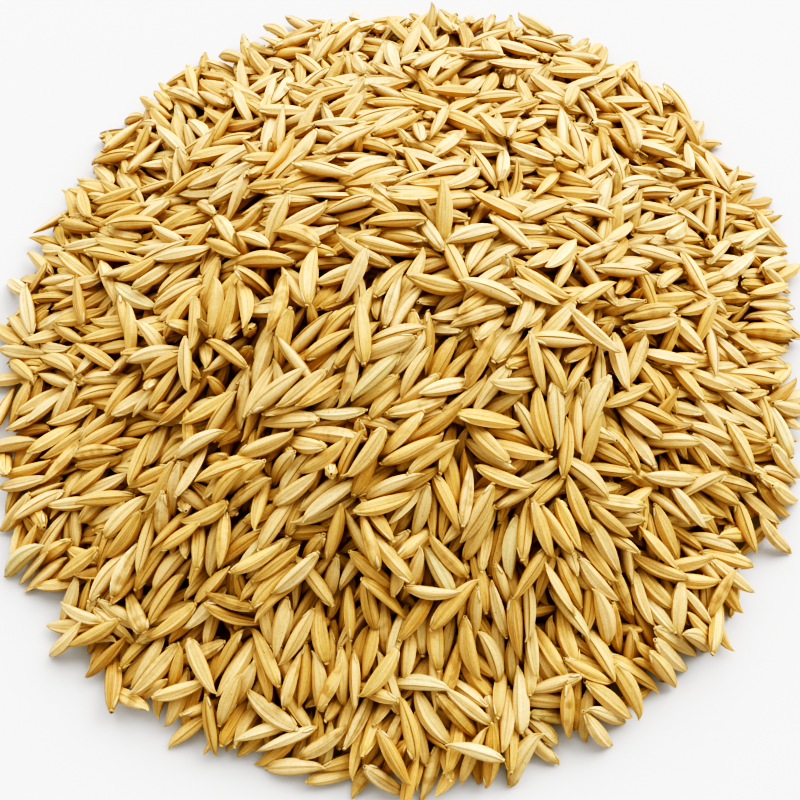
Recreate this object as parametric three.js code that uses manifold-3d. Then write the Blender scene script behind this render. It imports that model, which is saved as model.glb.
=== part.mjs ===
// A heap of rice in the husk, poured out on a flat surface. Millimetres, +Z up.
// The origin is on the surface, under the middle of the heap's bounding box.
//
// The heap is one body: a mound of packed grain, and the top layer of grains that stand out of
// it. They lie at random near the top and point down the slope towards the foot, as poured
// grains do. Each is a spindle of a few faces, larger than a real grain, so that fewer of them
// cover the mound.

import * as THREE from "three";
import { mergeVertices } from "three/addons/utils/BufferGeometryUtils.js";
import Module from "manifold-3d";

const manifold = await Module();
manifold.setup();

// The mound of packed grain: a cone with a rounded top, on a foot that isn't quite round.
const FOOT_RADIUS = 64.5; // the tips of the lowest grains reach past it
const MOUND_HEIGHT = 24.6;
const SLOPE = THREE.MathUtils.degToRad(35); // of the cone, that poured grain comes to rest at
const FOOT_LOBES = [
  // The foot's outline: how many lobes stand out, how far, and the angle of the first.
  { count: 1, reach: 0.8, angle: 2.04 },
  { count: 2, reach: 2.0, angle: 1.11 },
  { count: 4, reach: 0.9, angle: 0.69 },
  { count: 7, reach: 0.7, angle: 0.35 },
];
const SWELL_HEIGHT = 0.7; // of the soft humps on the mound
const SWELL_LENGTH = 31; // from hump to hump
const SWELL_FREE_RIM = 0.4; // share of the way in from the foot over which the humps rise
const MOUND_SEGMENTS = 20; // round the foot
const MOUND_RINGS = 4; // from the foot to the top

// A grain: a slim spindle with three long edges, widest before its middle.
const GRAIN_LENGTH = 12.4;
const GRAIN_WIDTH = 3.3;
const GRAIN_THICKNESS = 2.8;
const GRAIN_SPREAD = 0.09; // how much longer or shorter than that a grain may be
const GRAIN_BELLY = [-0.25, 0.19]; // from where to where it is widest, in grain lengths
const GRAIN_HEEL = 0.9; // how wide it is at the first of these, as a share of its width
const GRAIN_SIDES = 3; // one long edge on top, and a flat underside

// The layer of grains on the mound.
const GRAINS = 364;
const TOP_ZONE = 0.35; // of the way to the foot, where the grains lie at random
const FLANK_ZONE = 0.9; // of the way to the foot, from where they all point down the slope
const TOP_FAN = Math.PI; // how far a grain at the top may turn from straight down the slope
const FRONT_FAN = 0.75; // the same on the flank that faces -Y
const BACK_FAN = 1.3; // the same on the flank that faces +Y
const TOP_RISE = 0.16; // angle by which a tip of a grain at the top may stand off the mound
const FLANK_RISE = 0.22; // the same for the lower tip on the flank, which always does
const SEAT = 0.4; // height of a grain's middle over the mound
const SEAT_SPREAD = 0.35; // how much higher or lower than that a grain may lie
const SUPPORTS = 0.7; // how far along each half of a grain the mound carries it
const TIP_CLEARANCE = 0.35; // of a grain's lower tip over the surface

// How grains that crowd each other are pushed apart.
const FEELERS = [-0.36, -0.18, 0, 0.18, 0.36]; // points along a grain, in grain lengths
const FEELER_GAP = 1; // least distance between two grains' points, in grain widths
const PUSHES = 120; // rounds of pushing
const PUSH_SHARE = 0.12; // of a missing gap, made up in one push
const PUSH_TURN = 2.5; // how readily a push turns a grain
const OUTERMOST = 0.96; // how far out a grain's middle may be pushed

const SEED = 7;
const GOLDEN_ANGLE = Math.PI * (3 - Math.sqrt(5)); // spreads places evenly over a disc
const MERGE_DISTANCE = 1e-4; // corners closer than this are one corner
const NORMAL_STEP = 0.5; // either side of a place where the mound's slope is taken
const HUSK = new THREE.Color(0.56, 0.34, 0.1);

const { clamp, lerp, smoothstep, seededRandom } = THREE.MathUtils;

// A draw between -1 and 1.
function spread() {
  return 2 * seededRandom() - 1;
}

// The radius of the foot's outline at an angle round the heap.
function footRadius(angle) {
  let radius = FOOT_RADIUS;
  for (const lobe of FOOT_LOBES) {
    radius += lobe.reach * Math.cos(lobe.count * (angle - lobe.angle));
  }
  return radius;
}

// How far out a place is: 0 in the middle, 1 at the foot.
function outwards(x, y) {
  return Math.hypot(x, y) / footRadius(Math.atan2(y, x));
}

// The mound's height over the surface, which is 0 outside the foot.
function moundHeight(x, y) {
  const coneHeight = FOOT_RADIUS * Math.tan(SLOPE);
  const rounding = (coneHeight ** 2 - MOUND_HEIGHT ** 2) / (2 * MOUND_HEIGHT);
  const out = outwards(x, y);
  const cone = MOUND_HEIGHT + rounding - Math.hypot(coneHeight * out, rounding);
  const turn = (2 * Math.PI) / SWELL_LENGTH;
  const swell = SWELL_HEIGHT * Math.sin(turn * x) * Math.cos(turn * y);
  return Math.max(0, cone + swell * smoothstep(1 - out, 0, SWELL_FREE_RIM));
}

// The direction that the mound faces at a place.
function moundNormal(x, y) {
  const step = NORMAL_STEP;
  const alongX = moundHeight(x + step, y) - moundHeight(x - step, y);
  const alongY = moundHeight(x, y + step) - moundHeight(x, y - step);
  return new THREE.Vector3(-alongX, -alongY, 2 * step).normalize();
}

// A closed geometry as a solid. Only its positions are kept, so that its corners merge.
function solidOf(geometry) {
  const bare = geometry.clone();
  bare.deleteAttribute("normal");
  bare.deleteAttribute("uv");
  const merged = mergeVertices(bare, MERGE_DISTANCE);
  return new manifold.Manifold(
    new manifold.Mesh({
      numProp: 3,
      vertProperties: merged.attributes.position.array,
      triVerts: new Uint32Array(merged.index.array),
    }),
  );
}

// A solid as a geometry with flat faces.
function geometryOf(solid) {
  const { vertProperties, triVerts } = solid.getMesh();
  const geometry = new THREE.BufferGeometry();
  geometry.setAttribute("position", new THREE.BufferAttribute(vertProperties, 3));
  geometry.setIndex(new THREE.BufferAttribute(triVerts, 1));
  const flat = geometry.toNonIndexed();
  flat.computeVertexNormals();
  return flat;
}

// The mound: a disc with rings on top, drawn out to the foot's outline and raised.
function makeMound() {
  const profile = [new THREE.Vector2(0, 0)];
  for (let ring = 0; ring <= MOUND_RINGS; ring++) {
    profile.push(new THREE.Vector2(1 - ring / MOUND_RINGS, ring === 0 ? 0 : 1));
  }
  const geometry = new THREE.LatheGeometry(profile, MOUND_SEGMENTS);
  geometry.rotateX(Math.PI / 2);
  const place = geometry.attributes.position;
  for (let i = 0; i < place.count; i++) {
    const reach = footRadius(Math.atan2(place.getY(i), place.getX(i)));
    const x = place.getX(i) * reach;
    const y = place.getY(i) * reach;
    const onTop = place.getZ(i) > 0.5;
    place.setXYZ(i, x, y, onTop ? moundHeight(x, y) : 0);
  }
  return solidOf(geometry);
}

// The grains before they are pushed apart: where each lies, its heading and its size.
function layGrains() {
  const grains = [];
  for (let i = 0; i < GRAINS; i++) {
    const out = Math.sqrt((i + 0.5) / GRAINS);
    const angle = i * GOLDEN_ANGLE;
    const flank = smoothstep(out, TOP_ZONE, FLANK_ZONE);
    const flankFan = lerp(FRONT_FAN, BACK_FAN, (1 + Math.sin(angle)) / 2);
    const reach = out * footRadius(angle);
    grains.push({
      x: reach * Math.cos(angle),
      y: reach * Math.sin(angle),
      heading: angle + spread() * lerp(TOP_FAN, flankFan, flank),
      size: 1 + GRAIN_SPREAD * spread(),
      rise: lerp(TOP_RISE * spread(), FLANK_RISE, flank),
      seat: SEAT + SEAT_SPREAD * spread(),
    });
  }
  return grains;
}

// The feelers of a grain: points along it, on the mound.
function feelersOf(grain) {
  const dx = Math.cos(grain.heading) * grain.size * GRAIN_LENGTH;
  const dy = Math.sin(grain.heading) * grain.size * GRAIN_LENGTH;
  return FEELERS.map((share) => {
    const x = grain.x + dx * share;
    const y = grain.y + dy * share;
    return { x, y, z: moundHeight(x, y), share };
  });
}

// Pushes two grains apart where their feelers are too close, and turns them a little.
function pushApart(grain, other) {
  const gap = FEELER_GAP * GRAIN_WIDTH;
  for (const a of grain.feelers) {
    for (const b of other.feelers) {
      const dx = a.x - b.x;
      const dy = a.y - b.y;
      const distance = Math.hypot(dx, dy, a.z - b.z);
      if (distance < gap && distance > 0) {
        const push = (PUSH_SHARE * (gap - distance)) / distance;
        nudge(grain, a.share, dx * push, dy * push);
        nudge(other, b.share, -dx * push, -dy * push);
      }
    }
  }
}

// Moves a grain by a push on one of its points, which also turns it about its middle.
function nudge(grain, share, dx, dy) {
  const turn = Math.cos(grain.heading) * dy - Math.sin(grain.heading) * dx;
  grain.moveX += dx;
  grain.moveY += dy;
  grain.turn += (turn * share * PUSH_TURN) / GRAIN_LENGTH;
}

// Pushes the grains apart, round after round, within the foot.
function settle(grains) {
  for (let round = 0; round < PUSHES; round++) {
    for (const grain of grains) {
      Object.assign(grain, { feelers: feelersOf(grain), moveX: 0, moveY: 0, turn: 0 });
    }
    for (let i = 0; i < grains.length; i++) {
      for (let j = 0; j < i; j++) {
        const apart = Math.hypot(grains[i].x - grains[j].x, grains[i].y - grains[j].y);
        if (apart < GRAIN_LENGTH) pushApart(grains[i], grains[j]);
      }
    }
    for (const grain of grains) {
      grain.x += grain.moveX;
      grain.y += grain.moveY;
      grain.heading += grain.turn;
      const inwards = Math.min(1, OUTERMOST / outwards(grain.x, grain.y));
      grain.x *= inwards;
      grain.y *= inwards;
    }
  }
}

// A grain's place as a matrix: its length runs down the slope, and its ridge faces out.
function grainMatrix(grain) {
  const half = (grain.size * GRAIN_LENGTH) / 2;
  const dx = Math.cos(grain.heading);
  const dy = Math.sin(grain.heading);
  const step = SUPPORTS * half;
  const fall =
    moundHeight(grain.x - dx * step, grain.y - dy * step) -
    moundHeight(grain.x + dx * step, grain.y + dy * step);
  const height = Math.max(moundHeight(grain.x, grain.y) + grain.seat, GRAIN_THICKNESS / 2);
  const steepest = Math.asin(clamp((height - TIP_CLEARANCE) / half, 0, 1));
  const pitch = clamp(Math.atan2(fall, 2 * step) - grain.rise, -steepest, steepest);
  const along = new THREE.Vector3(dx * Math.cos(pitch), dy * Math.cos(pitch), -Math.sin(pitch));
  const side = new THREE.Vector3().crossVectors(along, moundNormal(grain.x, grain.y)).normalize();
  const ridge = new THREE.Vector3().crossVectors(side, along);
  const matrix = new THREE.Matrix4().makeBasis(side, along, ridge);
  matrix.scale(new THREE.Vector3(grain.size, grain.size, grain.size));
  return matrix.setPosition(grain.x, grain.y, height);
}

// A grain in its place. A lathe of three sides is as wide as the root of three and as thick as
// one and a half times its radius.
function makeGrain(grain) {
  const profile = [
    new THREE.Vector2(0, -GRAIN_LENGTH / 2),
    new THREE.Vector2(GRAIN_HEEL, GRAIN_BELLY[0] * GRAIN_LENGTH),
    new THREE.Vector2(1, GRAIN_BELLY[1] * GRAIN_LENGTH),
    new THREE.Vector2(0, GRAIN_LENGTH / 2),
  ];
  const geometry = new THREE.LatheGeometry(profile, GRAIN_SIDES);
  geometry.scale(GRAIN_WIDTH / Math.sqrt(3), 1, GRAIN_THICKNESS / 1.5);
  return solidOf(geometry.applyMatrix4(grainMatrix(grain)));
}

// What lies under the surface that the heap rests on.
function makeGround() {
  const depth = MOUND_HEIGHT;
  const width = 4 * FOOT_RADIUS;
  return solidOf(new THREE.BoxGeometry(width, width, depth).translate(0, 0, -depth / 2));
}

// The largest body of a solid, without loose scraps and with its sealed hollows filled.
function largestBody(solid) {
  const bodies = solid.decompose();
  return bodies.reduce((best, body) => (body.volume() > best.volume() ? body : best));
}

// The whole heap, set with the middle of its bounding box on the origin.
function makeHeap() {
  seededRandom(SEED);
  const grains = layGrains();
  settle(grains);
  let joined = makeMound();
  for (const grain of grains) joined = joined.add(makeGrain(grain));
  const geometry = geometryOf(largestBody(joined.subtract(makeGround())));
  geometry.computeBoundingBox();
  const middle = geometry.boundingBox.getCenter(new THREE.Vector3());
  geometry.translate(-middle.x, -middle.y, 0);
  const material = new THREE.MeshStandardMaterial({ color: HUSK, roughness: 0.6, metalness: 0 });
  const heap = new THREE.Mesh(geometry, material);
  heap.name = "rice_heap";
  return heap;
}

const group = new THREE.Group();
group.add(makeHeap());

export default group;
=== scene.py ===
"""The dressed heap of husked rice: every grain of its outer layers, at its real size.

The grains are laid in the heap's outer layers by a seeded draw, then settled: the ones that
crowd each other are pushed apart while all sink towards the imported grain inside. A grain is a
husk of two ribbed halves, with two small scales and a stub of its stalk at its foot.
"""

import math

import bpy
import numpy as np
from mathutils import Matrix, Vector


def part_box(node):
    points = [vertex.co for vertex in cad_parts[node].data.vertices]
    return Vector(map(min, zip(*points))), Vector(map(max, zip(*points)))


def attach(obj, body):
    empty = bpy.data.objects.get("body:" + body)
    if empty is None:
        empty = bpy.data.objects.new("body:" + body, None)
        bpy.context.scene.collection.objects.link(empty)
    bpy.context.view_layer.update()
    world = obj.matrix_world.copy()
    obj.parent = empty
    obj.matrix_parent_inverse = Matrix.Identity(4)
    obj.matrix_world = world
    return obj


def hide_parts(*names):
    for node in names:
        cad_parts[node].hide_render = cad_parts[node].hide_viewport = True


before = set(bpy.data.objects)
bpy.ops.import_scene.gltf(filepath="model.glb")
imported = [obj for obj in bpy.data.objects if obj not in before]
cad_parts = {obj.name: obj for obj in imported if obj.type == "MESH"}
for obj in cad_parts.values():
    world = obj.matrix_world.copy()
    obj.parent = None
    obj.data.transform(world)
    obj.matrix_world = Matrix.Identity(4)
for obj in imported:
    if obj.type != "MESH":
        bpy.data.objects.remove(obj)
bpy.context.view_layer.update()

SEED = 11
MM = 0.001
HEAP = "rice_heap"
BODY = "root"

# The heap's form, in millimetres. It follows the solid's box, and its foot has the same lobes:
# how many, how far they stand out, and the angle of the first.
LOW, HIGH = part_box(HEAP)
TIP_REACH = 2.2  # how far the lowest grains reach past the foot of the mound they are laid in
GRAIN_STAND = 1.6  # how far the top grains stand over the surface of that mound
FOOT_RADIUS = (HIGH.x - LOW.x + HIGH.y - LOW.y) / 4 / MM - TIP_REACH
MOUND_HEIGHT = (HIGH.z - LOW.z) / MM - GRAIN_STAND
SLOPE = math.radians(35)  # at which poured grain rests
FOOT_LOBES = ((1, 0.8, 2.04), (2, 2.0, 1.11), (4, 0.9, 0.69), (7, 0.7, 0.35))

# A grain, in millimetres.
GRAIN_LENGTH = 8.65
GRAIN_WIDTH = 2.17
GRAIN_THICKNESS = 1.8
FLOOR_GAP = 0.02  # under the lowest grains

# The layers that are settled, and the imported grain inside.
SHELL_GRAINS = 3000
SHELL_DEPTH = 6.0  # under the heap's surface, in millimetres
SHELL_REACH = 0.985  # how far out they lie, as a share of the foot
FLOOR_GRAINS = 600  # that lie on the surface below the heap
FLOOR_REACH = 0.95  # how far out they lie, as a share of the foot
CORE_INSET = 6.5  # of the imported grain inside, under the heap's surface
CORE_BOTTOM = 2.2  # height of its underside
CORE_DISH = 0.2  # by which the middle of its underside lies lower
CORE_MIDDLE = 0.002  # how far out its innermost ring lies, as a share of the foot
CORE_REACH = 0.86  # how much farther out its edge lies
CORE_SIDES = 72
CORE_RINGS = 16
ROUNDS = 90
DETAILED_GRAINS = 1730  # of those that show most
MOST_TRIANGLES = 190000  # of a piece

# How the grains lie before they are settled. Angles are in radians.
TOP_ZONE = 0.3  # share of the way to the foot, up to where they follow the top's drift
FLANK_ZONE = 0.8  # share of the way to the foot, from where they point down the slope
TOP_DRIFT = math.radians(50)  # heading of the grains on the top
BACK_DRIFT = math.radians(8)  # heading of the grains on the back flank
BACK_ZONE = (0.1, 0.8)  # sine of the angle round the heap where the back flank starts and is full
BACK_DELAY = 0.2  # how much farther out the grains on the back flank start to point down it
BACK_EASE = 0.4  # how much less strongly they do
DRIFT_PULL = 0.7  # how strongly they follow these, against the heap's own swirls
SWIRLS = 6
SWIRL_PULL = 0.28
SWIRL_EASE = 0.6  # how much weaker the swirls are where the grains point down the slope
SWIRL_LENGTH = (24, 44)  # shortest and longest, in millimetres
HEADING_SPREAD = 0.5  # from the drift that a grain follows
BACK_SPREAD = 0.4  # that the back flank adds to it
BACK_SPREAD_ZONE = (0.2, 0.7)  # distance behind the middle, from where it does to where it is full
STRAY_SHARE = 0.12  # of the grains, which lie at any angle
FLANK_RISE = 0.18  # by which the lower tips of the flank's grains stand off the slope
RISE_SPREAD = 0.25
RIM_PULL = 0.6  # how strongly the grains on the floor point outwards at the foot


def smooth(value, low, high):
    """0 below low, 1 above high and an even curve between."""
    share = np.clip((value - low) / (high - low), 0, 1)
    return share * share * (3 - 2 * share)


def unit(vectors):
    return vectors / np.linalg.norm(vectors, axis=-1, keepdims=True)


def dot(a, b):
    return (a * b).sum(-1, keepdims=True)


# The heap's form


def foot_radius(angle):
    """The radius of the foot's outline at each angle."""
    radius = np.full_like(angle, FOOT_RADIUS)
    for count, reach, first in FOOT_LOBES:
        radius += reach * np.cos(count * (angle - first))
    return radius


def outwards(x, y):
    """How far out each place is: 0 in the middle, 1 at the foot."""
    return np.hypot(x, y) / foot_radius(np.arctan2(y, x))


def mound_height(x, y):
    """A cone with a rounded top, and below 0 outside the foot."""
    cone = FOOT_RADIUS * math.tan(SLOPE)
    rounding = (cone**2 - MOUND_HEIGHT**2) / (2 * MOUND_HEIGHT)
    return MOUND_HEIGHT + rounding - np.hypot(cone * outwards(x, y), rounding)


def mound_normal(x, y):
    step = 0.5  # in millimetres
    slope_x = (mound_height(x + step, y) - mound_height(x - step, y)) / (2 * step)
    slope_y = (mound_height(x, y + step) - mound_height(x, y - step)) / (2 * step)
    return unit(np.stack([-slope_x, -slope_y, np.ones_like(slope_x)], -1))


# Laying and settling the grains

# A grain is felt as a row of beads along it: where each is, in grain lengths from the middle,
# and its radius, as a share of half the grain's width.
BEAD_PLACES = np.array([-0.40, -0.27, -0.135, 0, 0.135, 0.27, 0.40])
BEAD_RADII = np.array([0.48, 0.74, 0.89, 0.92, 0.87, 0.72, 0.46])
PULL = 0.06  # millimetres that the grains sink in the first round
CONTACT = 0.5  # share of an overlap that each round undoes on each grain
SHIFT = 0.2  # how much of its beads' pushes moves a grain
TURN = 0.8  # how much of them turns it


def drift(draw, x, y):
    """The heading that the grains follow at each place, mixed as directions without a sense."""
    out = outwards(x, y)
    angle = np.arctan2(y, x)
    back = smooth(np.sin(angle), *BACK_ZONE)
    down = smooth(out, TOP_ZONE + BACK_DELAY * back, FLANK_ZONE + BACK_DELAY * back)
    down = down * (1 - BACK_EASE * back)
    top = DRIFT_PULL * (1 - down) * (1 - back)
    behind = DRIFT_PULL * (1 - down) * back
    level = down * np.cos(2 * angle) + top * math.cos(2 * TOP_DRIFT) + behind * math.cos(2 * BACK_DRIFT)
    slant = down * np.sin(2 * angle) + top * math.sin(2 * TOP_DRIFT) + behind * math.sin(2 * BACK_DRIFT)
    for _ in range(SWIRLS):
        length = SWIRL_LENGTH[0] + (SWIRL_LENGTH[1] - SWIRL_LENGTH[0]) * draw.random()
        way, first, second = draw.random(3) * 2 * math.pi
        phase = (x * math.cos(way) + y * math.sin(way)) * 2 * math.pi / length
        pull = SWIRL_PULL * (1 - SWIRL_EASE * down)
        level += pull * np.cos(phase + first)
        slant += pull * np.cos(phase + second)
    return np.arctan2(slant, level) / 2


def lay_shell(draw):
    """Grains at random depths under the heap's surface, heading as poured grains do."""
    out = np.sqrt(draw.random(SHELL_GRAINS)) * SHELL_REACH
    angle = draw.random(SHELL_GRAINS) * 2 * math.pi
    reach = out * foot_radius(angle)
    x = reach * np.cos(angle)
    y = reach * np.sin(angle)
    facing = mound_normal(x, y)
    depth = draw.random(SHELL_GRAINS) * SHELL_DEPTH
    centre = np.stack([x, y, mound_height(x, y)], -1) - facing * depth[:, None]
    centre[:, 2] = np.maximum(centre[:, 2], GRAIN_THICKNESS / 2)
    flank = smooth(out, TOP_ZONE, FLANK_ZONE)
    spread = HEADING_SPREAD + BACK_SPREAD * smooth(np.sin(angle) * out, *BACK_SPREAD_ZONE)
    heading = drift(draw, x, y) + spread * draw.standard_normal(SHELL_GRAINS)
    stray = draw.random(SHELL_GRAINS) < STRAY_SHARE
    heading = np.where(stray, draw.random(SHELL_GRAINS) * 2 * math.pi, heading)
    along = np.stack([np.cos(heading), np.sin(heading), np.zeros(SHELL_GRAINS)], -1)
    along *= np.where((along[:, 0] * x + along[:, 1] * y) < 0, -1, 1)[:, None]
    along = unit(along - dot(along, facing) * facing)
    rise = flank * FLANK_RISE + (2 * draw.random(SHELL_GRAINS) - 1) * RISE_SPREAD
    along = along * np.cos(rise)[:, None] + facing * np.sin(rise)[:, None]
    return centre, along


def lay_floor(draw):
    """Grains that lie flat on the surface under the heap."""
    out = np.sqrt(draw.random(FLOOR_GRAINS)) * FLOOR_REACH
    angle = draw.random(FLOOR_GRAINS) * 2 * math.pi
    reach = out * foot_radius(angle)
    height = np.full(FLOOR_GRAINS, GRAIN_THICKNESS / 2)
    centre = np.stack([reach * np.cos(angle), reach * np.sin(angle), height], -1)
    spread = math.pi * (1 - RIM_PULL * smooth(out, TOP_ZONE, FLANK_ZONE))
    heading = angle + (2 * draw.random(FLOOR_GRAINS) - 1) * spread
    along = np.stack([np.cos(heading), np.sin(heading), np.zeros(FLOOR_GRAINS)], -1)
    return centre, along


def close_pairs(points, grain, cell):
    """The pairs of beads of two grains that lie in the same or in touching cells of a grid."""
    place = np.floor(points / cell).astype(np.int64)
    place -= place.min(0) - 1
    size = place.max(0) + 2
    key = (place[:, 0] * size[1] + place[:, 1]) * size[2] + place[:, 2]
    order = np.argsort(key, kind="stable")
    sorted_key = key[order]
    half = [(0, 0, 0), (0, 0, 1)]
    half += [(0, 1, k) for k in (-1, 0, 1)]
    half += [(1, j, k) for j in (-1, 0, 1) for k in (-1, 0, 1)]
    firsts = []
    seconds = []
    for i, j, k in half:
        other = key + (i * size[1] + j) * size[2] + k
        start = np.searchsorted(sorted_key, other, "left")
        count = np.searchsorted(sorted_key, other, "right") - start
        first = np.repeat(np.arange(len(points)), count)
        before = np.repeat(np.cumsum(count) - count, count)
        second = order[np.arange(len(first)) - before + np.repeat(start, count)]
        keep = grain[first] != grain[second]
        if (i, j, k) == (0, 0, 0):
            keep &= second > first
        firsts.append(first[keep])
        seconds.append(second[keep])
    return np.concatenate(firsts), np.concatenate(seconds)


def contact_moves(points, radii, grain):
    """How far each bead has to move off the beads that it overlaps, the floor and the core."""
    first, second = close_pairs(points, grain, 2 * radii.max())
    gap = points[first] - points[second]
    distance = np.linalg.norm(gap, axis=1)
    overlap = radii[first] + radii[second] - distance
    hit = overlap > 0
    first, second = first[hit], second[hit]
    push = gap[hit] / distance[hit, None] * (CONTACT * overlap[hit])[:, None]
    moves = np.zeros_like(points)
    for axis in range(3):
        moves[:, axis] += np.bincount(first, push[:, axis], len(points))
        moves[:, axis] -= np.bincount(second, push[:, axis], len(points))
    moves[:, 2] += np.maximum(0, radii - points[:, 2] - moves[:, 2])
    x, y, z = points.T
    core = mound_height(x, y) - CORE_INSET
    over_core = (z + radii > core) | (z > CORE_BOTTOM + radii)
    sunk = np.where(over_core & (core > CORE_BOTTOM), core - (z - radii), 0)
    facing = mound_normal(x, y)
    moves += (np.maximum(0, sunk) * facing[:, 2])[:, None] * facing
    return moves


def beads(centre, along, size):
    """The beads of all the grains: their middles, radii and grains."""
    places = BEAD_PLACES[None, :] * size[:, None] * GRAIN_LENGTH
    points = (centre[:, None, :] + places[..., None] * along[:, None, :]).reshape(-1, 3)
    radii = (BEAD_RADII[None, :] * size[:, None] * GRAIN_WIDTH / 2).ravel()
    return points, radii, np.repeat(np.arange(len(centre)), len(BEAD_PLACES))


def settle(centre, along, size):
    """Lets the grains sink and pushes them apart, round after round."""
    places = BEAD_PLACES[None, :] * size[:, None] * GRAIN_LENGTH
    spin = (places**2).sum(1)[:, None]
    up = np.array([0, 0, 1.0])
    for step in range(ROUNDS):
        facing = mound_normal(centre[:, 0], centre[:, 1])
        centre = centre - PULL * (1 - step / ROUNDS) * (facing + up) / 2
        moves = contact_moves(*beads(centre, along, size)).reshape(*places.shape, 3)
        centre = centre + SHIFT * moves.sum(1)
        turn = (moves * places[..., None]).sum(1) / spin
        along = unit(along + TURN * (turn - dot(turn, along) * along))
    return centre, along


# The form of a grain

# The section of a husk, as angles round it in degrees and how far each corner stands out of an
# oval. The two halves of the husk meet in a step at 107 to 115 degrees, and the ribs stand out
# at 0, 52 and 146 degrees, with flatter faces between. The other side is the same.
SECTION = (
    (0, 1.08), (26, 0.92), (52, 1.06), (80, 0.91),
    (107, 1.05), (115, 0.88), (146, 1.00), (180, 0.91),
)
CREASES = (0, 52, 107, 115)  # the angles whose edges are sharp
INNER_HALF = -0.33  # share of the half width, past which a corner is on the smaller, inner half
PLAIN_SECTION = ((0, 1.02), (45, 0.98), (90, 1.0), (135, 0.98), (180, 0.98))
NO_CREASE = -1
HUSK, SCALE, STALK = 0, 1, 2  # the numbers that tell a grain's parts apart

WIDTH_TAPER = (0.66, 0.78)  # how sharply a husk's width narrows to its foot and to its tip
THICKNESS_TAPER = (0.68, 0.95)  # the same for its thickness
FOOT_SHARE = 0.03  # place along the length, with whose width the foot starts

# Where a husk has its rings of corners, as shares of its length from its foot.
HUSK_PLACES = (0.012, 0.045, 0.10, 0.18, 0.28, 0.39, 0.50, 0.61, 0.71, 0.80, 0.88, 0.94, 0.98)
PLAIN_PLACES = (0.03, 0.14, 0.34, 0.58, 0.80, 0.94)

# A scale's rings: how far along each is, half the angle that it spans, and how far it stands out,
# where the husk's oval is at 1. Its inner face lies under that oval.
SCALE_RINGS = ((0.035, 0.55, 1.18), (0.09, 0.52, 1.13), (0.145, 0.30, 1.10))
SCALE_TIP = (0.20, 1.12)
SCALE_INSIDE = 0.9

# The stalk's rings, out of its hollow end and back to the husk: how far along each is, and how
# far it stands out.
STALK_RINGS = ((-0.018, 0.55), (-0.027, 0.88), (-0.016, 1.12), (0.006, 1.06))
STALK_HOLLOW = -0.010  # where the bottom of the hollow is
STALK_ROOT = 0.02  # where the stalk ends inside the husk
STALK_SIDES = 6
STALK_SLANT = 0.013  # of its rings, in grain lengths for each half thickness

# Where each part lies on a grain's own patch: left, bottom, right and top.
WHOLE_PATCH = (0.02, 0.02, 0.98, 0.98)
HUSK_PATCH = (0.02, 0.02, 0.76, 0.98)
SCALE_PATCHES = ((0.80, 0.02, 0.98, 0.30), (0.80, 0.34, 0.98, 0.62))
STALK_PATCH = (0.80, 0.66, 0.98, 0.98)

# How the grains differ: the usual value of each trait, and its spread.
SIZE_SPREAD = 0.055
SLIM_SPREAD = 0.06
SPREAD_LIMIT = 2  # of size and slimness, in standard deviations
THIN_SHARE = 0.06  # of the grains, which are poorly filled
THIN = 0.62  # their thickness, as a share of a full grain's
FULL_SPREAD = 0.12  # by which the others are thinner at most
SWELL_SPREAD = 0.10  # of where a grain is widest
OPEN_SHARE = 0.05  # of the grains, which gape at the seam
OPEN_LEAST = 0.25  # by which their inner half lies deeper, as a share of how far it stands out
OPEN_SPREAD = 0.3
BEND = 0.22  # of the whole grain, sideways, as a share of half its width
BEND_SPREAD = 0.16
BEAK = 0.30  # by which the tip bends farther the same way
BEAK_SPREAD = 0.14
BEAK_START = 0.86  # place along the grain
TWIST_SPREAD = 0.25  # from foot to tip, in radians
ROLL_SPREAD = 0.55  # about the grain's length, in radians


def tapered(along, taper):
    """How wide a husk is at each place along it, as a share of its greatest width."""
    foot, tip = taper
    fullest = foot / (foot + tip)
    greatest = fullest**foot * (1 - fullest) ** tip
    return (along + FOOT_SHARE) ** foot * (1 - along) ** tip / greatest


def full_section(half):
    """A section's corners all the way round, from the ones on one side."""
    mirrored = [(360 - angle, reach) for angle, reach in half[-2:0:-1]]
    return list(half) + mirrored


class GrainForm:
    """A grain's corners and faces, before it is given a size and a place.

    A corner is kept as how far along the grain it is, and its two places across it as shares
    of the half width and half thickness there.
    """

    def __init__(self):
        self.along = []
        self.across = []
        self.part = []
        self.crease = []
        self.faces = []
        self.uv = []

    def corner(self, along, angle, reach, part):
        self.along.append(along)
        self.across.append((reach * math.cos(angle), reach * math.sin(angle)))
        self.part.append(part)
        turn = round(math.degrees(angle))
        sharp = part == HUSK and reach > 0 and min(turn, 360 - turn) in CREASES
        self.crease.append(turn if sharp else NO_CREASE)
        return len(self.along) - 1

    def loft(self, rings, part, uv_box):
        """Joins rings of (angle, reach) corners, each at its place along, closed at both ends.

        A ring of one corner is a point. uv_box is where on the grain's own patch it lies.
        """
        rows = []
        for along, ring in rings:
            rows.append([self.corner(along, angle, reach, part) for angle, reach in ring])
        low_u, low_v, high_u, high_v = uv_box
        sides = max(len(row) for row in rows)

        def uv_at(row, side):
            u = low_u + (high_u - low_u) * side / sides
            return u, low_v + (high_v - low_v) * row / (len(rows) - 1)

        for row in range(len(rows) - 1):
            lower, upper = rows[row], rows[row + 1]
            for side in range(sides):
                after = (side + 1) % sides
                corners = [lower[after % len(lower)], lower[side % len(lower)]]
                corners += [upper[side % len(upper)], upper[after % len(upper)]]
                places = [uv_at(row, side + 1), uv_at(row, side)]
                places += [uv_at(row + 1, side), uv_at(row + 1, side + 1)]
                if len(lower) == 1:
                    corners, places = corners[1:], places[1:]
                if len(upper) == 1:
                    corners, places = corners[:-1], places[:-1]
                self.faces.append(corners)
                self.uv.append(places)


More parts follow.
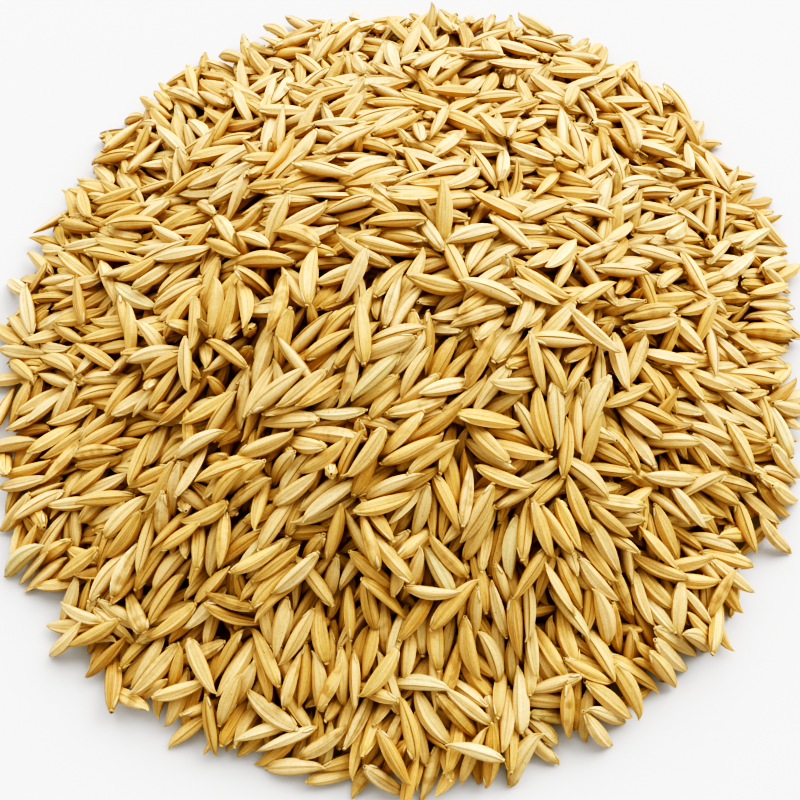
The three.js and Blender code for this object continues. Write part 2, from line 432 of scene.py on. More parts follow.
def husk_rings(section, places):
    """A husk's rings, from its foot to its tip."""
    round_it = [(math.radians(angle), reach) for angle, reach in full_section(section)]
    rings = [(0.0, [(0, 0)])]
    rings += [(along, round_it) for along in places]
    rings.append((1.0, [(0, 0)]))
    return rings


def scale_rings(side):
    """A small scale that hugs the foot of the husk on one of its narrow sides."""
    rings = [(0.0, [(side, SCALE_INSIDE)])]
    for along, half_angle, lift in SCALE_RINGS:
        ring = [(side, lift), (side + half_angle, 1.0), (side, SCALE_INSIDE), (side - half_angle, 1.0)]
        rings.append((along, ring))
    along, lift = SCALE_TIP
    rings.append((along, [(side, lift)]))
    return rings


def stalk_rings():
    """The stub of the stalk: a small knob with a hollow end."""
    angles = [2 * math.pi * k / STALK_SIDES for k in range(STALK_SIDES)]
    rings = [(STALK_HOLLOW, [(0, 0)])]
    for along, reach in STALK_RINGS:
        rings.append((along, [(angle, reach) for angle in angles]))
    rings.append((STALK_ROOT, [(0, 0)]))
    return rings


def detailed_form():
    form = GrainForm()
    form.loft(husk_rings(SECTION, HUSK_PLACES), HUSK, HUSK_PATCH)
    for side, patch in zip((0.0, math.pi), SCALE_PATCHES):
        form.loft(scale_rings(side), SCALE, patch)
    form.loft(stalk_rings(), STALK, STALK_PATCH)
    for corner, part in enumerate(form.part):
        if part == STALK:
            form.along[corner] += STALK_SLANT * form.across[corner][1]
    return form


def plain_form():
    form = GrainForm()
    form.loft(husk_rings(PLAIN_SECTION, PLAIN_PLACES), HUSK, WHOLE_PATCH)
    return form


def draw_traits(draw, count):
    """What makes each grain its own: its size, its fullness, and how it bends and turns."""

    def near_usual():
        return np.clip(draw.standard_normal(count), -SPREAD_LIMIT, SPREAD_LIMIT)

    return {
        "size": 1 + SIZE_SPREAD * near_usual(),
        "slim": 1 + SLIM_SPREAD * near_usual(),
        "full": np.where(draw.random(count) < THIN_SHARE, THIN, 1 - FULL_SPREAD * draw.random(count)),
        "swell": 1 + SWELL_SPREAD * draw.standard_normal(count),
        "open": (draw.random(count) < OPEN_SHARE) * (OPEN_LEAST + OPEN_SPREAD * draw.random(count)),
        "bend": BEND + BEND_SPREAD * draw.standard_normal(count),
        "beak": BEAK + BEAK_SPREAD * draw.standard_normal(count),
        "twist": TWIST_SPREAD * draw.standard_normal(count),
        "roll": ROLL_SPREAD * draw.standard_normal(count),
        "end": draw.random(count) < 0.5,
        "side": draw.random(count) < 0.5,
        "draws": draw.random((count, 3)),
    }


def pick(traits, which):
    return {name: values[which] for name, values in traits.items()}


def grain_axes(centre, along, traits):
    """The three directions of each grain: across its width, along it and through it."""
    facing = mound_normal(centre[:, 0], centre[:, 1])
    on_floor = centre[:, 2] < GRAIN_THICKNESS
    facing = np.where(on_floor[:, None], np.array([0, 0, 1.0]), facing)
    along = np.where(traits["end"][:, None], along, -along)
    through = unit(facing - dot(facing, along) * along)
    across = np.cross(along, through)
    cos, sin = np.cos(traits["roll"])[:, None], np.sin(traits["roll"])[:, None]
    through, across = cos * through - sin * across, sin * through + cos * across
    flip = np.where(traits["side"], 1.0, -1.0)[:, None]
    return across * flip, along, through * flip


def place_grains(form, centre, along, traits):
    """The corners of all the grains, in metres, as an array of grains by corners by 3."""
    across_axis, along_axis, through_axis = grain_axes(centre, along, traits)
    place = np.array(form.along)
    shares = np.array(form.across)
    column = {name: values[:, None] for name, values in traits.items() if values.ndim == 1}
    taper_place = np.clip(place, 0, 1) ** column["swell"]
    half_width = GRAIN_WIDTH / 2 * column["size"] * column["slim"]
    half_thick = GRAIN_THICKNESS / 2 * column["size"] * column["slim"] * column["full"]
    inner = (shares[:, 0] < INNER_HALF) * (np.array(form.part) == HUSK)
    sink = 1 - column["open"] * inner * np.sin(math.pi * np.clip(place, 0, 1))
    across = half_width * tapered(taper_place, WIDTH_TAPER) * shares[:, 0] * sink
    through = half_thick * tapered(taper_place, THICKNESS_TAPER) * shares[:, 1] * sink
    turn = column["twist"] * (place - 0.5)
    across, through = (
        across * np.cos(turn) - through * np.sin(turn),
        across * np.sin(turn) + through * np.cos(turn),
    )
    arch = np.sin(math.pi * np.clip(place, 0, 1)) - 2 / math.pi  # less its mean
    across = across + half_width * column["bend"] * arch
    across = across - half_width * column["beak"] * smooth(place, BEAK_START, 1.0) ** 2
    length = GRAIN_LENGTH * column["size"] * (place - 0.5)
    corners = centre[:, None, :] + across[..., None] * across_axis[:, None, :]
    corners = corners + length[..., None] * along_axis[:, None, :]
    corners = corners + through[..., None] * through_axis[:, None, :]
    corners[:, :, 2] += np.maximum(0, FLOOR_GAP - corners[:, :, 2].min(1))[:, None]
    return corners


def each_way(cells):
    """The steps from that many cells before a place to as many after it."""
    return range(-cells, cells + 1)


class Cover:
    """The height of the grains' tops over each place, evened out: what lies under it is in shade."""

    CELL = 0.5  # in millimetres, like REACH
    REACH = 80  # from the middle to the edge of what is covered
    BEAD_CELLS = 2  # that a bead reaches, each way
    WIDEN_CELLS = 3  # that the highest tops are spread over, each way
    EVEN_CELLS = 2  # that they are then evened out over, each way
    FOOT_LIGHT = 7  # most depth for each millimetre of height, as light comes in at the foot

    def __init__(self, centre, along, size):
        points, radii, _ = beads(centre, along, size)
        side = int(2 * self.REACH / self.CELL)
        tops = np.zeros((side, side))
        for i in each_way(self.BEAD_CELLS):
            for j in each_way(self.BEAD_CELLS):
                off = math.hypot(i, j) * self.CELL
                covers = radii > off
                rise = np.sqrt(radii[covers] ** 2 - off**2)
                column, row = self.cell_of(points[covers, 0], points[covers, 1])
                np.maximum.at(tops, (row + i, column + j), points[covers, 2] + rise)
        for axis in (0, 1):
            tops = np.max([np.roll(tops, shift, axis) for shift in each_way(self.WIDEN_CELLS)], axis=0)
        for axis in (0, 1, 0, 1):
            tops = np.mean([np.roll(tops, shift, axis) for shift in each_way(self.EVEN_CELLS)], axis=0)
        self.tops = tops

    def cell_of(self, x, y):
        return [((value + self.REACH) / self.CELL).astype(int) for value in (x, y)]

    def depth(self, corners):
        """How deep each corner lies in the heap, in millimetres."""
        x, y, z = np.moveaxis(corners, -1, 0)
        column, row = self.cell_of(x, y)
        under = (self.tops[row, column] - z) * math.cos(SLOPE)
        return np.minimum(under, np.maximum(z, 0) * self.FOOT_LIGHT)


# Making the meshes


def grain_piece(name, form, centre, along, traits, cover, material):
    """One piece of many grains, with each corner's place on its grain kept for the material."""
    count = len(centre)
    corners = place_grains(form, centre, along, traits)
    per_grain = len(form.along)
    sizes = np.array([len(face) for face in form.faces])
    loops = np.concatenate([np.array(face) for face in form.faces])
    offsets = np.repeat(np.arange(count) * per_grain, len(loops))
    mesh = bpy.data.meshes.new(name)
    mesh.vertices.add(count * per_grain)
    mesh.vertices.foreach_set("co", (corners * MM).astype(np.float32).ravel())
    mesh.loops.add(count * len(loops))
    mesh.loops.foreach_set("vertex_index", np.tile(loops, count) + offsets)
    all_sizes = np.tile(sizes, count)
    mesh.polygons.add(len(all_sizes))
    mesh.polygons.foreach_set("loop_start", np.cumsum(all_sizes) - all_sizes)
    mesh.polygons.foreach_set("use_smooth", np.ones(len(all_sizes), bool))
    local = np.column_stack([np.array(form.across)[:, 0], form.along, np.array(form.across)[:, 1]])
    add_vector(mesh, "grain_place", np.tile(local, (count, 1)))
    add_vector(mesh, "grain_draws", np.repeat(traits["draws"], per_grain, axis=0))
    add_number(mesh, "grain_part", np.tile(np.array(form.part), count))
    add_number(mesh, "grain_depth", cover.depth(corners).ravel())
    mesh.uv_layers.new(name="OFBake").data.foreach_set("uv", patch_uv(form, count))
    mesh.update(calc_edges=True)
    mesh.validate()
    crease_edges(mesh, form)
    mesh.materials.append(material)
    piece = bpy.data.objects.new(name, mesh)
    bpy.context.scene.collection.objects.link(piece)
    return piece


def crease_edges(mesh, form):
    """Marks the edges along the ribs and the seams as sharp."""
    ends = np.empty(len(mesh.edges) * 2, np.int32)
    mesh.edges.foreach_get("vertices", ends)
    crease = np.array(form.crease)[ends % len(form.along)].reshape(-1, 2)
    sharp = (crease[:, 0] == crease[:, 1]) & (crease[:, 0] != NO_CREASE)
    attribute = mesh.attributes.new("sharp_edge", "BOOLEAN", "EDGE")
    attribute.data.foreach_set("value", sharp)


def add_number(mesh, name, values):
    attribute = mesh.attributes.new(name, "FLOAT", "POINT")
    attribute.data.foreach_set("value", values.astype(np.float32))


def add_vector(mesh, name, values):
    attribute = mesh.attributes.new(name, "FLOAT_VECTOR", "POINT")
    attribute.data.foreach_set("vector", values.astype(np.float32).ravel())


def patch_uv(form, count):
    """Gives each grain its own patch of the square, in rows."""
    columns = math.ceil(math.sqrt(count))
    rows = math.ceil(count / columns)
    one = np.array([place for face in form.uv for place in face])
    index = np.arange(count)
    corner = np.stack([index % columns, index // columns], -1)
    uv = (corner[:, None, :] + one[None, :, :]) / np.array([columns, rows])
    return uv.astype(np.float32).ravel()


# How the grains that show are found: by a grid of small squares, from straight above and from
# all sides at two heights.
VIEW_CELL = 0.5  # in millimetres
VIEW_SPREAD = 2  # cells that a bead reaches, each way
VIEW_MARGIN = 4  # cells round them all
ASIDE = (0.31, 0.17, 0.93)  # a direction that no view has
FROM_ABOVE = (0.01, 0.0, 1.0)
VIEW_HEIGHTS = (0.25, 1.2)
VIEW_SIDES = 8


def show_from(direction, points, grain, radii):
    """How much of each grain can be seen from a direction, as a count of small squares."""
    view = np.array(direction) / np.linalg.norm(direction)
    right = np.cross(view, ASIDE)
    right /= np.linalg.norm(right)
    up = np.cross(right, view)
    flat = np.stack([points @ right, points @ up], -1) / VIEW_CELL
    flat -= flat.min(0) - VIEW_MARGIN
    width = int(flat[:, 0].max()) + VIEW_MARGIN + 1
    keys = []
    depths = []
    owners = []
    for i in each_way(VIEW_SPREAD):
        for j in each_way(VIEW_SPREAD):
            off = np.hypot(i, j) * VIEW_CELL
            covers = radii > off
            column = flat[covers, 0].astype(int) + i
            row = flat[covers, 1].astype(int) + j
            keys.append(row * width + column)
            depths.append(points[covers] @ view + np.sqrt(radii[covers] ** 2 - off**2))
            owners.append(grain[covers])
    keys = np.concatenate(keys)
    depths = np.concatenate(depths)
    owners = np.concatenate(owners)
    order = np.lexsort((depths, keys))
    last = np.ones(len(order), bool)
    last[:-1] = keys[order][1:] != keys[order][:-1]
    return np.bincount(owners[order[last]], minlength=grain.max() + 1)


def showing_grains(centre, along, size):
    """Marks the grains that show most, from above or from any side."""
    points, radii, grain = beads(centre, along, size)
    seen = show_from(FROM_ABOVE, points, grain, radii)
    for height in VIEW_HEIGHTS:
        for turn in range(VIEW_SIDES):
            angle = turn * 2 * math.pi / VIEW_SIDES + height
            side = (math.cos(angle), math.sin(angle), height)
            seen = np.maximum(seen, show_from(side, points, grain, radii))
    showing = np.zeros(len(centre), bool)
    showing[np.argsort(-seen, kind="stable")[:DETAILED_GRAINS]] = True
    return showing


# Materials


class Finish:
    """A material that is put together from nodes, with short calls for the common ones."""

    def __init__(self, name):
        self.material = bpy.data.materials.new(name)
        self.material.use_nodes = True
        self.nodes = self.material.node_tree.nodes
        self.links = self.material.node_tree.links
        self.shader = self.nodes["Principled BSDF"]

    def join(self, value, socket):
        if isinstance(value, bpy.types.NodeSocket):
            self.links.new(value, socket)
        else:
            socket.default_value = value

    def node(self, kind, values=(), **settings):
        node = self.nodes.new(kind)
        for name, value in settings.items():
            setattr(node, name, value)
        for socket, value in values:
            self.join(value, node.inputs[socket])
        return node

    def attribute(self, name):
        return self.node("ShaderNodeAttribute", attribute_name=name)

    def split(self, vector):
        return self.node("ShaderNodeSeparateXYZ", [(0, vector)]).outputs

    def math(self, operation, first, second=0.0):
        values = [(0, first), (1, second)]
        return self.node("ShaderNodeMath", values, operation=operation).outputs[0]

    def vector(self, operation, first, second):
        values = [(0, first), (1, second)]
        return self.node("ShaderNodeVectorMath", values, operation=operation).outputs[0]

    def ramp(self, value, low, high, out_low=0.0, out_high=1.0):
        """An even curve from out_low where value is low to out_high where it is high."""
        values = [("Value", value), ("From Min", low), ("From Max", high)]
        values += [("To Min", out_low), ("To Max", out_high)]
        return self.node("ShaderNodeMapRange", values, interpolation_type="SMOOTHSTEP").outputs[0]

    def mix(self, share, first, second):
        """A mix of two colours, whose sockets share their names with others and go by number."""
        node = self.node("ShaderNodeMix", data_type="RGBA")
        self.join(share, node.inputs[0])
        self.join(first, node.inputs[6])
        self.join(second, node.inputs[7])
        return node.outputs[2]

    def noise(self, vector, scale, detail, roughness):
        values = [("Vector", vector), ("Scale", scale), ("Detail", detail), ("Roughness", roughness)]
        return self.node("ShaderNodeTexNoise", values).outputs[0]

    def bump(self, height, distance, strength):
        values = [("Height", height), ("Distance", distance), ("Strength", strength)]
        return self.node("ShaderNodeBump", values).outputs[0]


def rgb(red, green, blue):
    return (red, green, blue, 1.0)


# The lots of grains: their lighter and darker colour, and their shares, which are scaled to add
# up to the whole heap.
LOTS = {
    "straw": (rgb(0.78, 0.51, 0.25), rgb(0.69, 0.415, 0.165), 0.37),
    "gold": (rgb(0.76, 0.445, 0.165), rgb(0.67, 0.345, 0.10), 0.30),
    "cream": (rgb(0.78, 0.545, 0.28), rgb(0.72, 0.48, 0.225), 0.17),
    "tan": (rgb(0.63, 0.37, 0.13), rgb(0.53, 0.28, 0.075), 0.09),
    "green": (rgb(0.70, 0.54, 0.28), rgb(0.62, 0.465, 0.21), 0.02),
    "brown": (rgb(0.54, 0.27, 0.06), rgb(0.42, 0.18, 0.035), 0.04),
}
# The pale colour of the fibres, the tips and the ribs; on the ribs it is partly a painted highlight.
PALE_NERVE_AND_HIGHLIGHT = rgb(0.83, 0.60, 0.34)
SEAM = rgb(0.22, 0.08, 0.012)
# The brown of the streaks and the ends, and painted shade in the furrows and beside the seam.
BROWN_AND_PAINTED_SHADE = rgb(0.38, 0.215, 0.05)
STAIN = rgb(0.26, 0.11, 0.02)
SCALE_COLOUR = rgb(0.82, 0.65, 0.40)
# Painted shade: on steep faces, deeper in the heap, and darkest deepest in it.
FLANK_SHADE = rgb(0.51, 0.275, 0.075)
SHADED = rgb(0.39, 0.215, 0.05)
STALK_END = rgb(0.10, 0.05, 0.02)
DEEP_SHADE = rgb(0.13, 0.052, 0.008)
# The packed grain inside is coloured in these dark browns as painted shade in the gaps.
PACKED_SHADE_DARK = rgb(0.10, 0.04, 0.008)
PACKED_SHADE_LIGHT = rgb(0.30, 0.15, 0.04)
FLOOR_GREY = rgb(0.56, 0.56, 0.56)

# The lines along a husk: their angles round it, in degrees, and how far to each side they fade.
RIB_ANGLES = (0, 107)
RIB_WIDTH = math.radians(9)
SEAM_ANGLES = (112,)
SEAM_WIDTH = math.radians(8)
SEAM_SHADE_WIDTH = math.radians(26)  # of the warm painted shade beside the seam's step
# The furrow lines are darkened as painted shade in the hollow between the ribs.
FURROW_ANGLES = (72,)
FURROW_WIDTH = math.radians(17)

# How a grain's own places are stretched for the patterns on it: along its fibres, and to about
# its true size. OWN_PLACE moves each grain to a place of its own in them.
FIBRE_STRETCH = (5.0, 0.8, 5.0)
TRUE_SIZE = (1.1, GRAIN_LENGTH, 0.95)
OWN_PLACE = (61.0, 47.0, 53.0)
REDRAW = 7.0  # makes another draw out of one

# The noise of each pattern: its scale, its detail and its roughness.
FIBRE_NOISE = (1.4, 4.0, 0.65)
STREAK_NOISE = (0.8, 3.0, 0.6)
MOTTLE_NOISE = (0.55, 3.0, 0.5)
GRIT_NOISE = (3.6, 3.0, 0.6)
SPECK_NOISE = (2.6, 1.0, 0.5)
PACKED_NOISE = (320.0, 3.0, 0.5)

# Where each mark starts and where it is full, on its pattern, then how strong it is at each,
# which is 0 and 1 where that isn't given.
BODY_FOOT = (0.0, 0.08)  # where the lines along the husk come in, by the place along it
BODY_TIP = (1.0, 0.93)  # where they do at the other end
FURROW_BREAKS = (0.3, 0.6, 0.25, 1.0)
MOTTLE = (0.42, 0.70, 0.0, 0.6)
STREAKS = (0.48, 0.70, 0.0, 0.22)
PALE_FIBRES = (0.44, 0.60, 0.0, 0.42)
DARK_TIP = (0.84, 0.94)
DARK_FOOT = (0.20, 0.05)
END_BREAKS = (0.35, 0.6)
PALE_TIP = (0.95, 0.99, 0.0, 0.7)
SEAM_CLEAR = (0.0, 1.0, 0.95, 0.1)  # some grains show a clear seam, others hardly any
STAINED = (0.78, 1.0)
STAIN_SPREAD = (0.46, 0.66)
SPECKS = (0.72, 0.78, 0.0, 0.6)
PALE_SCALES = (0.2, 0.8, 0.0, 0.55)
LESS_PALE_STALK = (1.2, 1.8, 0.0, 0.4)
STALK_PART = (1.2, 1.8)
STALK_MIDDLE = (0.45, 0.15)  # by the square of how far out of the stalk's middle a place is
BRIGHTNESS = (0.0, 1.0, 0.84, 1.0)  # by each grain's draw
GRIT = (0.38, 0.62, -0.07, 0.07)  # what is added to it
STEEP_SHADE = (0.85, 0.0, 0.0, 0.55)  # painted shade on steep faces, by how far up the surface faces
IN_SHADE = (0.6, 2.8, 0.0, 0.4)  # by depth in the heap, in millimetres
IN_THE_DARK = (2.2, 5.4, 0.0, 0.9)  # the same, for the deepest
ROUGHNESS = (0.3, 0.7, 0.42, 0.58)  # of the surface, by its fibres
PACKED_CONTRAST = (0.35, 0.65)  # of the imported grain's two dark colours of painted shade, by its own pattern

# How strongly each of these tints the grain, where its pattern is at its fullest.
FURROW_PAINTED_SHADE = 0.14
RIB_PALENESS_AND_HIGHLIGHT = 0.38
END_TINT = 0.7
SEAM_SHADE_TINT = 0.4
STAIN_TINT = 0.6

# The relief, and how much light the surface reflects as a sheen.
GRIT_RELIEF = 0.35
FURROW_RELIEF = -1.0
RELIEF_DEPTH = 0.0001  # in metres
RELIEF_STRENGTH = 0.9
SHEEN = 0.4


class HuskFinish(Finish):
    """The finish of one lot of grains, from where each place is on its own grain."""

    def __init__(self, lot):
        super().__init__("husk_" + lot)
        self.light, self.dark, _ = LOTS[lot]
        place = self.attribute("grain_place").outputs["Vector"]
        draws = self.attribute("grain_draws").outputs["Vector"]
        self.part = self.attribute("grain_part").outputs["Fac"]
        self.across, self.along, self.through = self.split(place)
        self.tone, self.shade, self.stained = self.split(draws)
        self.angle = self.math("ABSOLUTE", self.math("ARCTAN2", self.through, self.across))
        self.body = self.times(self.ramp(self.along, *BODY_FOOT), self.ramp(self.along, *BODY_TIP))
        own = self.vector("MULTIPLY", draws, OWN_PLACE)
        lengthwise = self.vector("ADD", self.vector("MULTIPLY", place, FIBRE_STRETCH), own)
        self.fibres = self.noise(lengthwise, *FIBRE_NOISE)
        self.streaks = self.noise(lengthwise, *STREAK_NOISE)
        self.spot = self.vector("ADD", self.vector("MULTIPLY", place, TRUE_SIZE), own)
        self.mottle = self.noise(self.spot, *MOTTLE_NOISE)
        self.grit = self.noise(self.spot, *GRIT_NOISE)
        breaks = self.ramp(self.mottle, *FURROW_BREAKS)
        self.furrows = self.times(self.body_lines(FURROW_ANGLES, FURROW_WIDTH), breaks)
        colour = self.in_the_heap(self.foot_marked(self.marked()))
        self.join(colour, self.shader.inputs["Base Color"])
        self.join(self.ramp(self.fibres, *ROUGHNESS), self.shader.inputs["Roughness"])
        self.join(self.relief(), self.shader.inputs["Normal"])
        self.shader.inputs["Specular IOR Level"].default_value = SHEEN

    def times(self, first, second):
        return self.math("MULTIPLY", first, second)

    def lines(self, degrees, width):
        """1 in the middle of each line along the grain, and 0 beside it."""
        total = 0.0
        for at in degrees:
            away = self.math("ABSOLUTE", self.math("SUBTRACT", self.angle, math.radians(at)))
            total = self.math("ADD", total, self.ramp(away, 0.0, width, 1.0, 0.0))
        return total

    def body_lines(self, degrees, width):
        """Lines that fade out at the foot and the tip."""
        return self.times(self.lines(degrees, width), self.body)

    def marked(self):
        """The grain's colour, with its ribs, pale and partly a painted highlight, its seam and its
        stains, and painted shade in its furrows and beside its seam.
        """
        colour = self.mix(self.tone, self.light, self.dark)
        colour = self.mix(self.ramp(self.mottle, *MOTTLE), colour, self.dark)
        colour = self.mix(self.ramp(self.streaks, *STREAKS), colour, BROWN_AND_PAINTED_SHADE)
        colour = self.mix(self.ramp(self.fibres, *PALE_FIBRES), colour, PALE_NERVE_AND_HIGHLIGHT)
        # painted shade in the furrows
        colour = self.mix(self.times(self.furrows, FURROW_PAINTED_SHADE), colour, BROWN_AND_PAINTED_SHADE)
        # pale ribs, partly a painted highlight along the ridge and the edge beside the seam
        colour = self.mix(self.times(self.lines(RIB_ANGLES, RIB_WIDTH), RIB_PALENESS_AND_HIGHLIGHT), colour, PALE_NERVE_AND_HIGHLIGHT)
        ends = self.math("ADD", self.ramp(self.along, *DARK_TIP), self.ramp(self.along, *DARK_FOOT))
        ends = self.times(ends, self.ramp(self.mottle, *END_BREAKS))
        colour = self.mix(self.times(ends, END_TINT), colour, BROWN_AND_PAINTED_SHADE)
        colour = self.mix(self.ramp(self.along, *PALE_TIP), colour, PALE_NERVE_AND_HIGHLIGHT)
        # painted shade beside the seam's step
        seam_shade = self.body_lines(SEAM_ANGLES, SEAM_SHADE_WIDTH)
        colour = self.mix(self.times(seam_shade, SEAM_SHADE_TINT), colour, BROWN_AND_PAINTED_SHADE)
        clear = self.ramp(self.math("FRACT", self.times(self.stained, REDRAW)), *SEAM_CLEAR)
        seam = self.body_lines(SEAM_ANGLES, SEAM_WIDTH)
        colour = self.mix(self.times(seam, clear), colour, SEAM)
        blotch = self.times(self.ramp(self.stained, *STAINED), self.ramp(self.mottle, *STAIN_SPREAD))
        colour = self.mix(self.times(blotch, STAIN_TINT), colour, STAIN)
        specks = self.ramp(self.noise(self.spot, *SPECK_NOISE), *SPECKS)
        return self.mix(specks, colour, STAIN)

    def foot_marked(self, colour):
        """Adds the pale scales and the stalk's dark end to a colour."""
        less = self.ramp(self.part, *LESS_PALE_STALK)
        paler = self.math("SUBTRACT", self.ramp(self.part, *PALE_SCALES), less)
        colour = self.mix(paler, colour, SCALE_COLOUR)
        squares = [self.math("POWER", place, 2.0) for place in (self.across, self.through)]
        middle = self.ramp(self.math("ADD", *squares), *STALK_MIDDLE)
        return self.mix(self.times(self.ramp(self.part, *STALK_PART), middle), colour, STALK_END)

    def in_the_heap(self, colour):
        """Gives a colour the grain's own brightness, and shade on steep faces and deep in the heap."""
        value = self.math("ADD", self.ramp(self.shade, *BRIGHTNESS), self.ramp(self.grit, *GRIT))
        hue = self.node("ShaderNodeHueSaturation", [("Value", value), ("Color", colour)])
        upright = self.split(self.node("ShaderNodeNewGeometry").outputs["Normal"])[2]
        # painted shade on faces that turn away from the light overhead
        colour = self.mix(self.ramp(upright, *STEEP_SHADE), hue.outputs[0], FLANK_SHADE)
        depth = self.attribute("grain_depth").outputs["Fac"]
        # painted shade by depth in the heap, darkest deepest
        colour = self.mix(self.ramp(depth, *IN_SHADE), colour, SHADED)
        return self.mix(self.ramp(depth, *IN_THE_DARK), colour, DEEP_SHADE)

    def relief(self):
        """The fine relief of the fibres, the grit and the furrows."""
        height = self.math("ADD", self.fibres, self.times(self.grit, GRIT_RELIEF))
        height = self.math("ADD", height, self.times(self.furrows, FURROW_RELIEF))
        return self.bump(height, RELIEF_DEPTH, RELIEF_STRENGTH)


# The packed grain's finish: dark browns as painted shade, seen through the gaps.
def packed_shade_material():
    finish = Finish("packed_grain_in_shade")
    place = finish.node("ShaderNodeTexCoord").outputs["Object"]
    grain = finish.noise(place, *PACKED_NOISE)
    colour = finish.mix(finish.ramp(grain, *PACKED_CONTRAST), PACKED_SHADE_DARK, PACKED_SHADE_LIGHT)
    finish.join(colour, finish.shader.inputs["Base Color"])
    finish.shader.inputs["Roughness"].default_value = 0.8
    relief = finish.bump(grain, distance=0.001, strength=1.0)
    finish.join(relief, finish.shader.inputs["Normal"])
    return finish.material


def floor_material():
    finish = Finish("floor")
    finish.shader.inputs["Base Color"].default_value = FLOOR_GREY
    finish.shader.inputs["Roughness"].default_value = 0.9
    finish.shader.inputs["Specular IOR Level"].default_value = 0.1
    return finish.material


# The pieces


def dress(piece):
    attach(piece, BODY)
    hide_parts(HEAP)


def make_core():
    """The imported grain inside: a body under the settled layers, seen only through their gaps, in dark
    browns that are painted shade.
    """
    angle = np.arange(CORE_SIDES) * 2 * math.pi / CORE_SIDES
    corners = []
    for ring in range(CORE_RINGS + 1):
        out = CORE_REACH * (1 - ring / CORE_RINGS) + CORE_MIDDLE
        reach = out * foot_radius(angle)
        x, y = reach * np.cos(angle), reach * np.sin(angle)
        z = np.maximum(mound_height(x, y) - CORE_INSET, CORE_BOTTOM)
        corners.append(np.stack([x, y, z], -1))
    corners.insert(0, corners[-1] * [1, 1, 0] + [0, 0, CORE_BOTTOM - CORE_DISH])
    corners = np.concatenate(corners) * MM
    faces = []
    for row in range(CORE_RINGS + 1):
        for k in range(CORE_SIDES):
            after = (k + 1) % CORE_SIDES
            low, high = row * CORE_SIDES, (row + 1) * CORE_SIDES
            faces.append((low + k, low + after, high + after, high + k))
    faces.append(tuple(range(CORE_SIDES))[::-1])
    faces.append(tuple((CORE_RINGS + 1) * CORE_SIDES + k for k in range(CORE_SIDES)))
    mesh = bpy.data.meshes.new("packed_grain_in_shade")
    mesh.from_pydata(corners.tolist(), [], faces)
    mesh.update()
    mesh.materials.append(packed_shade_material())
    core = bpy.data.objects.new("packed_grain_in_shade", mesh)
    bpy.context.scene.collection.objects.link(core)
    return core


def make_heap():
    draw = np.random.default_rng(SEED)
    shell = lay_shell(draw)
    floor = lay_floor(draw)
    centre = np.concatenate([shell[0], floor[0]])
    along = np.concatenate([shell[1], floor[1]])
    traits = draw_traits(draw, len(centre))
    centre, along = settle(centre, along, traits["size"])
    showing = showing_grains(centre, along, traits["size"])
    cover = Cover(centre, along, traits["size"])
    shares = np.array([lot[2] for lot in LOTS.values()])
    lot_of = draw.choice(len(LOTS), len(centre), p=shares / shares.sum())
    forms = {"": (detailed_form(), showing), "_under": (plain_form(), ~showing)}
    for index, lot in enumerate(LOTS):
        material = HuskFinish(lot).material
        for suffix, (form, shown) in forms.items():
            which = np.flatnonzero(shown & (lot_of == index))
            most = MOST_TRIANGLES // triangles_of(form)
            for group, part in enumerate(np.array_split(which, math.ceil(len(which) / most))):
                name = f"grains_{lot}{suffix}_{group + 1}"
                chosen = pick(traits, part)
                dress(grain_piece(name, form, centre[part], along[part], chosen, cover, material))
    dress(make_core())


def triangles_of(form):
    return sum(len(face) - 2 for face in form.faces)


# Camera, light and floor

AIM = Vector((-0.9, -8.9, 0.0)) * MM  # the place that the camera looks at
CAMERA_DISTANCE = 143.2 * MM
CAMERA_HEIGHT = 70.6  # over the surface, in degrees
LENS = 40.5  # in millimetres, like SENSOR
SENSOR = 36.0
NEAREST = 0.01  # that the camera shows, in metres
FLOOR_SIZE = 40.0  # in metres, like FLOOR_DROP
FLOOR_DROP = 0.0002  # how far it lies under the heap


def direction(turn, height):
    """A direction from the heap: turn 0 is towards the camera, 90 to the right, in degrees."""
    turn, height = math.radians(turn), math.radians(height)
    flat = math.cos(height)
    return Vector((math.sin(turn) * flat, -math.cos(turn) * flat, math.sin(height)))


def look_at(thing, target):
    thing.rotation_euler = (thing.location - target).to_track_quat("Z", "Y").to_euler()


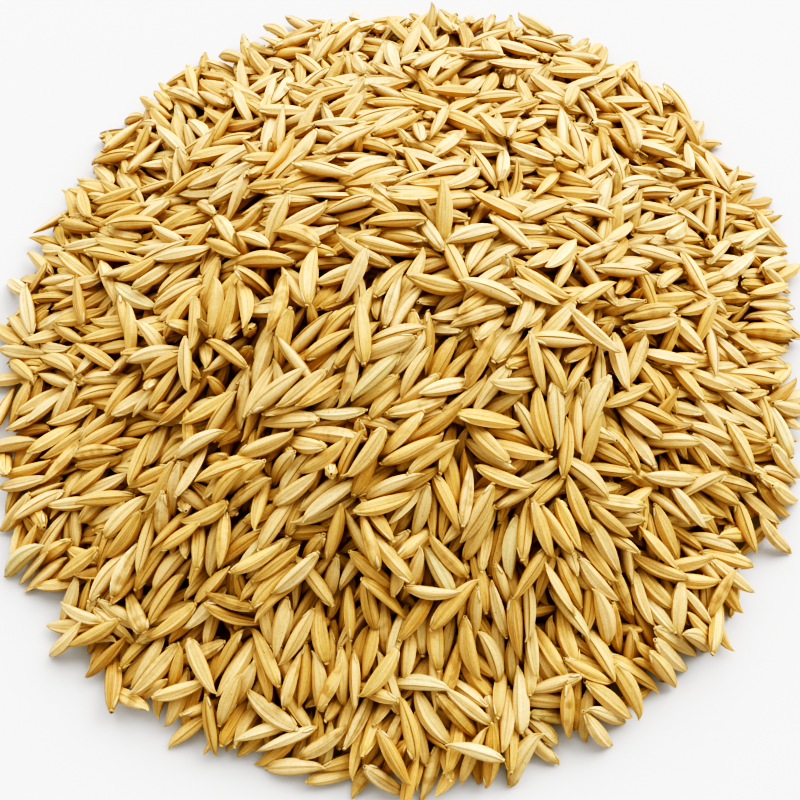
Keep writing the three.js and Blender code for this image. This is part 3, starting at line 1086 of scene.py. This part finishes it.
def make_camera():
    data = bpy.data.cameras.new("camera")
    data.lens = LENS
    data.sensor_width = SENSOR
    data.clip_start = NEAREST
    camera = bpy.data.objects.new("camera", data)
    bpy.context.scene.collection.objects.link(camera)
    camera.location = AIM + CAMERA_DISTANCE * direction(0, CAMERA_HEIGHT)
    look_at(camera, AIM)
    bpy.context.scene.camera = camera


def make_lamp(name, turn, height, distance, size, power):
    data = bpy.data.lights.new(name, "AREA")
    data.shape = "DISK"
    data.size = size
    data.energy = power
    lamp = bpy.data.objects.new(name, data)
    bpy.context.scene.collection.objects.link(lamp)
    lamp.location = distance * direction(turn, height)
    look_at(lamp, Vector((0, 0, 0)))
    lamp.visible_camera = False


def make_floor():
    bpy.ops.mesh.primitive_plane_add(size=FLOOR_SIZE, location=(0, 0, -FLOOR_DROP))
    floor = bpy.context.object
    floor.name = "floor"
    floor.data.materials.append(floor_material())


# The lamps: their turn and height, in degrees, distance and size, in metres, and power, in watts.
LAMPS = {
    "key": (130, 36, 4.8, 3.1, 206.0),
    "top": (178, 42, 6.0, 6.4, 402.0),
    "fill": (246, 32, 5.2, 3.6, 76.0),
}
SKY = 0.54  # strength of the light from all round

# How the picture's tones are shown: the tone of each channel that turns black, and places on a
# curve that deepens the shade and evens out the brightest tones.
BLACK_LEVEL = (0.002, 0.010, 0.032)
TONE_CURVE = ((0.05, 0.026), (0.20, 0.25), (0.42, 0.575), (0.70, 0.81))
TONE_END = (1.0, 0.945)
ALL_CHANNELS = 3  # the curve that acts on them together


def make_light():
    scene = bpy.context.scene
    world = bpy.data.worlds.new("world")
    world.use_nodes = True
    world.node_tree.nodes["Background"].inputs["Color"].default_value = rgb(1, 1, 1)
    world.node_tree.nodes["Background"].inputs["Strength"].default_value = SKY
    scene.world = world
    for name, values in LAMPS.items():
        make_lamp(name, *values)
    scene.view_settings.view_transform = "Standard"
    scene.view_settings.use_curve_mapping = True
    tone = scene.view_settings.curve_mapping
    tone.black_level = BLACK_LEVEL
    curve = tone.curves[ALL_CHANNELS]
    for place in TONE_CURVE:
        curve.points.new(*place)
    curve.points[-1].location = TONE_END
    tone.update()


make_camera()
make_floor()
make_light()
make_heap()

bpy.context.view_layer.update()
